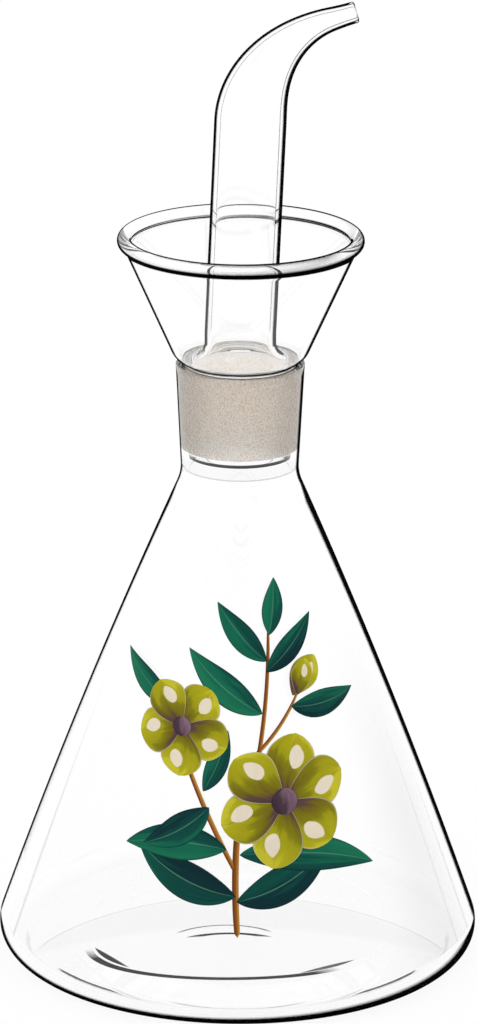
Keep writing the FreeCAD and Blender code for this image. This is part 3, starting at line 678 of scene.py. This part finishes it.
def cutDrain(piece, size):
    # a round hole through the tube's foot: start + along * way + radius * (cos a * side + sin a * Y)
    way = onCircle(180 - size["drainLean"])
    side = np.array([way[1], -way[0]])
    angle = np.linspace(0, 2 * np.pi, size["drainAround"], endpoint=False)
    ring = np.outer(np.cos(angle), [side[0], 0, side[1]]) + np.outer(np.sin(angle), [0, 1, 0])
    centres = np.array(size["drainStart"]) + np.outer(size["drainReach"], [way[0], 0, way[1]])
    verts = np.concatenate([centre + size["drainRadius"] * ring for centre in centres] + [centres])
    cutter = makePiece("drainCutter", verts * mm, polarFaces(2, len(angle)), [clear])
    cut = piece.modifiers.new("drain", "BOOLEAN")
    cut.operation, cut.solver, cut.object = "DIFFERENCE", "EXACT", cutter
    bpy.context.view_layer.update()
    done = bpy.data.meshes.new_from_object(piece.evaluated_get(bpy.context.evaluated_depsgraph_get()))
    piece.modifiers.clear()
    whole, piece.data = piece.data, done
    bpy.data.objects.remove(cutter)
    bpy.data.meshes.remove(whole)
    print("drain cut,", len(done.polygons), "faces")
    return piece


def makePourer(size):
    # each point of the closed loop becomes a ring on its own tilted frame:
    # centre + radius * (cos a * sideways + sin a * Y)
    loop, finish, line = chain(funnelRuns(size) + spoutRuns(size) + insideRuns(size))
    loop, line = loop[:-1], line[:-1]  # the loop ends where it began
    around = size["around"]
    angle = np.linspace(0, 2 * np.pi, around, endpoint=False)
    x, z, tilt, radius = (loop[:, [i]] for i in range(4))
    sideways = radius * np.cos(angle)
    verts = np.stack([x + np.cos(tilt) * sideways, radius * np.sin(angle) + 0 * x,
                      z - np.sin(tilt) * sideways], 2).reshape(-1, 3) * mm
    faces = gridFaces(len(loop), around, True).reshape(-1, 4)
    values = lineValues(line, angle, size)
    way = [-np.sin(angle) * np.cos(tilt), np.cos(angle) + 0 * x, np.sin(angle) * np.sin(tilt)]
    values["roundWay"] = np.stack(way, 2).reshape(-1, 3)
    piece = makePiece("pourerGlass", verts, faces, pourerFinishes, np.repeat(finish, around), values)
    return cutDrain(piece, size)


pourerGlass = makePourer(pourer)
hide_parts("pourer")
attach(pourerGlass, "root")
print("pourer made")


spray = {  # the print; millimetres on the flattened front, degrees clockwise from upright
    "middle": 49.5, "lean": 21, "enamel": 0.006, "layer": 0.015, "rows": 40, "around": 20,
    # x, y, heading, length, width, bend
    "stems": [(0, -34, 2, 32, 1.3, 14), (0, -22, -24, 34, 1.0, 10), (0, -16, 8, 42, 0.9, -18),
              (2, 0, 38, 16, 0.8, -24)],
    "leaves": [(-0.4, -26, -66, 22, 7.5, 34), (-2.2, -17, -92, 21, 7.0, -28), (-5.6, -9, -122, 16, 5.8, 30),
               (-13, 10, -56, 15, 4.8, 26), (-6.8, -6, 22, 13, 4.2, -20), (-0.2, -27, 62, 22, 7.5, -36),
               (0.3, -18, 99, 29, 7.0, 30), (10.4, 10, 86, 15, 5.2, -26), (4.6, 9, -50, 19, 6.0, 24),
               (5.4, 19, -40, 15, 4.8, 20), (5.3, 17, 42, 14, 4.8, -22), (5.9, 24, 4, 11, 4.2, -10)],
    "buds": [(10.6, 12, 34, 8.5, 6.4, 6), (11.6, 12, 12, 7.0, 4.6, -10)],
    # x, y, first petal's heading, petals, petal length, petal width
    "blossoms": [(9, -8, 10, 6, 13.0, 10.0), (-11, 6, 40, 5, 9.5, 8.4)],
    "petalBend": 8, "heartShare": 0.4,  # the heart's width over a petal's length
    # skew and fullness of the outline, and the lowest layer
    "stemForm": (0.6, 0.18, 1), "leafForm": (0.85, 0.9, 2), "petalForm": (1.5, 0.62, 15),
    "budForm": (1.2, 0.7, 15), "heartForm": (1, 0.5, 23),
    "shadeStep": 0.618,  # from one shape's shade to the next's, round a circle of 1
}


def flaskSide(size):
    # the outside from the heel up to the lip
    return np.concatenate([run[0] for run in flaskOutside(size)[3:]])


def blade(x, y, heading, length, width, bend, skew, fullness, layer, size, side):
    # a thin closed lens along a bent middle line. Half width = width / 2 * sin(pi * s ** skew)
    # ** fullness for s from 0 to 1; the section is a flat ellipse; the glass carries it as
    # height = up * cos(lean), azimuth = across / radius - 90 degrees
    share = np.linspace(0, 1, size["rows"])
    course = np.radians(heading + bend * (share - 0.5))
    step = length / (size["rows"] - 1) * np.stack([np.sin(course), np.cos(course)], 1)
    middle = np.array([x, y]) + np.cumsum(step, 0) - step[0]
    half = width / 2 * np.sin(np.pi * share ** skew) ** fullness
    turn = np.linspace(0, 2 * np.pi, size["around"], endpoint=False)
    sideways = half[:, None] * np.cos(turn)
    across = middle[:, [0]] + np.cos(course)[:, None] * sideways
    up = middle[:, [1]] - np.sin(course)[:, None] * sideways
    lift = size["layer"] * layer + size["enamel"] * np.outer(half / half.max(), np.sin(turn))
    lean = math.radians(size["lean"])
    height = size["middle"] + up * math.cos(lean)
    radius = np.interp(height, side[:, 1], side[:, 0])
    azimuth = across / radius - np.pi / 2
    radius = radius + lift * math.cos(lean)
    verts = np.stack([radius * np.cos(azimuth), radius * np.sin(azimuth),
                      height + lift * math.sin(lean)], 2)
    values = np.stack([np.broadcast_to(share[:, None], sideways.shape),
                       np.broadcast_to(np.cos(turn), sideways.shape)], 2)
    return [np.concatenate([grid[1:-1].reshape(-1, grid.shape[2]), grid[[0, -1], 0]])
            for grid in (verts, values)]


def makePrint(name, blades, material, size):
    # many blades as one piece; along, across and shade colour each from its own measure
    side = flaskSide(flask)
    shapes = [blade(*one, size, side) for one in blades]
    count = len(shapes[0][0])
    faces = polarFaces(size["rows"] - 2, size["around"])
    quads = np.concatenate([faces + count * i for i in range(len(shapes))])
    values = np.concatenate([shape[1] for shape in shapes])
    shade = np.repeat(np.arange(len(shapes)) * size["shadeStep"] % 1, count)
    piece = makePiece(name, np.concatenate([shape[0] for shape in shapes]) * mm, quads, [material],
                      values={"along": values[:, 0], "across": values[:, 1], "shade": shade})
    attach(piece, "root")


inks = {
    # colours by ramp value; that value is start + weights . (along, across, shade, brush);
    # bands over it: |across| where one begins and is full, colour, strength
    "leafEnamel": {
        "stops": [(0.0, "03262f"), (0.28, "04383d"), (0.33, "064a45"), (0.48, "085a4c"), (0.53, "0e6f56"),
                  (0.8, "1f8560")],
        "start": -0.02, "weights": (0.15, -0.16, 0.35, 0.5),
        "bands": [(0.05, 0.01, "6fb08a", 0.55), (0.86, 0.97, "033a36", 0.7)],  # vein and rim
    },
    "petalEnamel": {
        "stops": [(0.0, "4b3740"), (0.2, "6a4f4a"), (0.26, "7d6a1e"), (0.42, "948f12"), (0.48, "b3ad18"),
                  (0.7, "c3bd1f"), (0.76, "d8d136")],
        "start": -0.12, "weights": (0.62, 0.16, 0.12, 0.42),
        "bands": [(0.03, 0.01, "7d7410", 0.4), (0.93, 0.98, "e9e2b8", 0.8)],
        # a pale patch: its middle along and across, its half lengths, colour
        "glint": (0.66, 0.22, 0.17, 0.3, "f6ecd8"),
    },
    "stemEnamel": {
        "stops": [(0.0, "5c2f0e"), (0.45, "8a4c18"), (0.6, "b87428"), (0.9, "e0b45c")],
        "start": 0.25, "weights": (0.0, 0.3, 0.1, 0.5), "bands": [(0.9, 1.0, "4a2810", 0.5)],
    },
    "heartEnamel": {
        "stops": [(0.0, "3c2c3a"), (0.4, "54404e"), (0.5, "7a5c6c"), (0.8, "98788a")],
        "start": 0.0, "weights": (0.3, 0.3, 0.1, 0.6), "bands": [(0.9, 1.0, "2e222c", 0.6)],
    },
    "brushScale": (1.6, 2.4, 40), "glintTurn": 0.12, "glintRaggedness": 0.5, "glintEdge": (1.06, 0.98),
    "roughness": 0.55, "specular": 0.12,
    "seeThrough": 0.35,  # share of the light that passes the coat
}


def weighted(tree, start, terms):
    # start + the sum of value * weight
    total = None
    for value, weight in terms:
        node = addNode(tree, "ShaderNodeMath", {"operation": "MULTIPLY_ADD", 1: weight, 2: start},
                       {0: value})
        if total:
            tree.links.new(total, node.inputs[2])
        total = node.outputs[0]
    return total


def enamel(name):
    # fired enamel: flat patches of colour with brushed edges, nearly matt, and thin enough to
    # glow a little from behind; the notes in inks give the colour's formula
    ink = inks[name]
    material, tree = newMaterial(name)
    along, across, shade = (addNode(tree, "ShaderNodeAttribute", {"attribute_name": label}).outputs["Fac"]
                            for label in ("along", "across", "shade"))
    strokes = addNode(tree, "ShaderNodeCombineXYZ", links={0: along, 1: across, 2: shade})
    stretched = addNode(tree, "ShaderNodeMapping", {"Scale": inks["brushScale"]},
                        {"Vector": strokes.outputs[0]})
    brush = addNode(tree, "ShaderNodeTexNoise", {"Scale": 1.0, "Detail": 3.0, "Roughness": 0.55},
                    {"Vector": stretched.outputs[0]}).outputs["Fac"]
    value = weighted(tree, ink["start"], zip((along, across, shade, brush), ink["weights"]))
    ramp = addNode(tree, "ShaderNodeValToRGB", links={"Fac": value})
    for place, tint in ink["stops"][2:]:
        ramp.color_ramp.elements.new(place)
    for element, (place, tint) in zip(ramp.color_ramp.elements, ink["stops"]):
        element.position, element.color = place, srgb(tint)
    fromMiddle = addNode(tree, "ShaderNodeMath", {"operation": "ABSOLUTE"}, {0: across}).outputs[0]
    colour = ramp.outputs["Color"]
    for begins, full, tint, strength in ink["bands"]:
        near = addNode(tree, "ShaderNodeMapRange", {"From Min": begins, "From Max": full,
                                                    "To Max": strength}, {"Value": fromMiddle})
        colour = addNode(tree, "ShaderNodeMix", {"data_type": "RGBA", 7: srgb(tint)},
                         {0: near.outputs["Result"], 6: colour}).outputs[2]
    if "glint" in ink:
        alongAt, acrossAt, longHalf, wideHalf, tint = ink["glint"]
        spot = addNode(tree, "ShaderNodeMapping",
                       {"vector_type": "TEXTURE", "Location": (alongAt, acrossAt, 0),
                        "Rotation": (0, 0, inks["glintTurn"]), "Scale": (longHalf, wideHalf, 1e6)},
                       {"Vector": strokes.outputs[0]})
        radius = addNode(tree, "ShaderNodeVectorMath", {"operation": "LENGTH"}, {0: spot.outputs[0]})
        uneven = inks["glintRaggedness"]
        ragged = weighted(tree, -uneven / 2, [(radius.outputs["Value"], 1.0), (brush, uneven)])
        outer, inner = inks["glintEdge"]
        inside = addNode(tree, "ShaderNodeMapRange", {"From Min": outer, "From Max": inner},
                         {"Value": ragged})
        colour = addNode(tree, "ShaderNodeMix", {"data_type": "RGBA", 7: srgb(tint)},
                         {0: inside.outputs["Result"], 6: colour}).outputs[2]
    coat = addNode(tree, "ShaderNodeBsdfPrincipled",
                   {"Roughness": inks["roughness"], "Specular IOR Level": inks["specular"]},
                   {"Base Color": colour})
    through = addNode(tree, "ShaderNodeBsdfTranslucent", links={"Color": colour})
    thin = addNode(tree, "ShaderNodeMixShader", {0: inks["seeThrough"]},
                   {1: coat.outputs[0], 2: through.outputs[0]})
    addNode(tree, "ShaderNodeOutputMaterial", links={"Surface": thin.outputs[0]})
    return material


def layered(blades, form):
    # blades with their outline's form, each on its own layer so that none share a surface
    skew, fullness, layer = form
    return [(*blade, skew, fullness, layer + i) for i, blade in enumerate(blades)]


def makeSpray(size):
    # stems, leaves and buds as listed; petals at even angles round each blossom's heart
    petals, hearts = [], []
    for x, y, first, count, length, width in size["blossoms"]:
        turns = [first + 360 / count * i for i in range(count)]
        petals += layered([(x, y, turn, length, width, size["petalBend"]) for turn in turns],
                          size["petalForm"])
        heart = size["heartShare"] * length
        hearts.append((x, y - heart / 2, 0, heart, heart, 0, *size["heartForm"]))
    petals += layered(size["buds"], size["budForm"])
    makePrint("printedStems", [(*stem, *size["stemForm"]) for stem in size["stems"]],
              enamel("stemEnamel"), size)
    makePrint("printedLeaves", layered(size["leaves"], size["leafForm"]), enamel("leafEnamel"), size)
    makePrint("printedPetals", petals, enamel("petalEnamel"), size)
    makePrint("printedHearts", hearts, enamel("heartEnamel"), size)


makeSpray(spray)
print("print made")


studio = {  # metres, degrees and watts; lens and sensor in millimetres
    "floorSize": 6.0, "floorDrop": 0.00005, "floorGlow": 0.9, "boardColour": "5a5a5a",
    "worldColour": "ffffff", "worldStrength": 1.0,
    "softBox": 0.8, "softBoxPower": 2.0, "softBoxPlace": (-0.7, -0.9, 1.1),
    "cameraPlace": (-0.0002, -1.041, 0.429), "cameraPitch": -18.05, "cameraRoll": 0.28,
    "lens": 196.9, "sensorWidth": 36, "clipEnd": 20,
    "bounces": 32, "glossyBounces": 16,  # glass in glass needs many
}


def makeFloor(look):
    # a pale board just under the foot, which glows so that it stays even
    half, z = look["floorSize"] / 2, -look["floorDrop"]
    verts = [(-half, -half, z), (half, -half, z), (half, half, z), (-half, half, z)]
    mesh = bpy.data.meshes.new("floor")
    mesh.from_pydata(verts, [], [(0, 1, 2, 3)])
    floor = bpy.data.objects.new("floor", mesh)
    scene.collection.objects.link(floor)
    material, tree = newMaterial("paleBoard")
    glow = addNode(tree, "ShaderNodeEmission", {"Color": srgb("ffffff"), "Strength": look["floorGlow"]})
    board = addNode(tree, "ShaderNodeBsdfDiffuse", {"Color": srgb(look["boardColour"])})
    both = addNode(tree, "ShaderNodeAddShader", links={0: glow.outputs[0], 1: board.outputs[0]})
    addNode(tree, "ShaderNodeOutputMaterial", links={"Surface": both.outputs[0]})
    mesh.materials.append(material)


def makeWorld(look):
    # an even white surround
    world = bpy.data.worlds.new("studio")
    world.use_nodes = True
    tree = world.node_tree
    tree.nodes.clear()
    sky = addNode(tree, "ShaderNodeBackground", {"Color": srgb(look["worldColour"]),
                                                 "Strength": look["worldStrength"]})
    addNode(tree, "ShaderNodeOutputWorld", links={"Surface": sky.outputs[0]})
    scene.world = world


def makeSoftBox(look):
    # a square soft box, up to the left of the camera, aimed at the middle of the piece
    data = bpy.data.lights.new("softBox", "AREA")
    data.size, data.energy = look["softBox"], look["softBoxPower"]
    box = bpy.data.objects.new("softBox", data)
    place = Vector(look["softBoxPlace"])
    aim = Vector((0, 0, pourerHigh.z / 2)) - place
    box.matrix_world = Matrix.Translation(place) @ aim.to_track_quat("-Z", "Y").to_matrix().to_4x4()
    scene.collection.objects.link(box)


def makeCamera(look):
    # turned from looking straight down: pitch about X, after a roll about its line of sight
    data = bpy.data.cameras.new("camera")
    data.lens, data.sensor_width, data.clip_end = look["lens"], look["sensorWidth"], look["clipEnd"]
    camera = bpy.data.objects.new("camera", data)
    camera.matrix_world = (Matrix.Translation(look["cameraPlace"])
                           @ Matrix.Rotation(math.radians(90 + look["cameraPitch"]), 4, "X")
                           @ Matrix.Rotation(math.radians(look["cameraRoll"]), 4, "Z"))
    scene.collection.objects.link(camera)
    scene.camera = camera


makeFloor(studio)
makeWorld(studio)
makeSoftBox(studio)
makeCamera(studio)
scene.view_settings.view_transform = "Standard"
scene.cycles.max_bounces = studio["bounces"]
scene.cycles.transmission_bounces = studio["bounces"]
scene.cycles.glossy_bounces = studio["glossyBounces"]
print("studio ready")
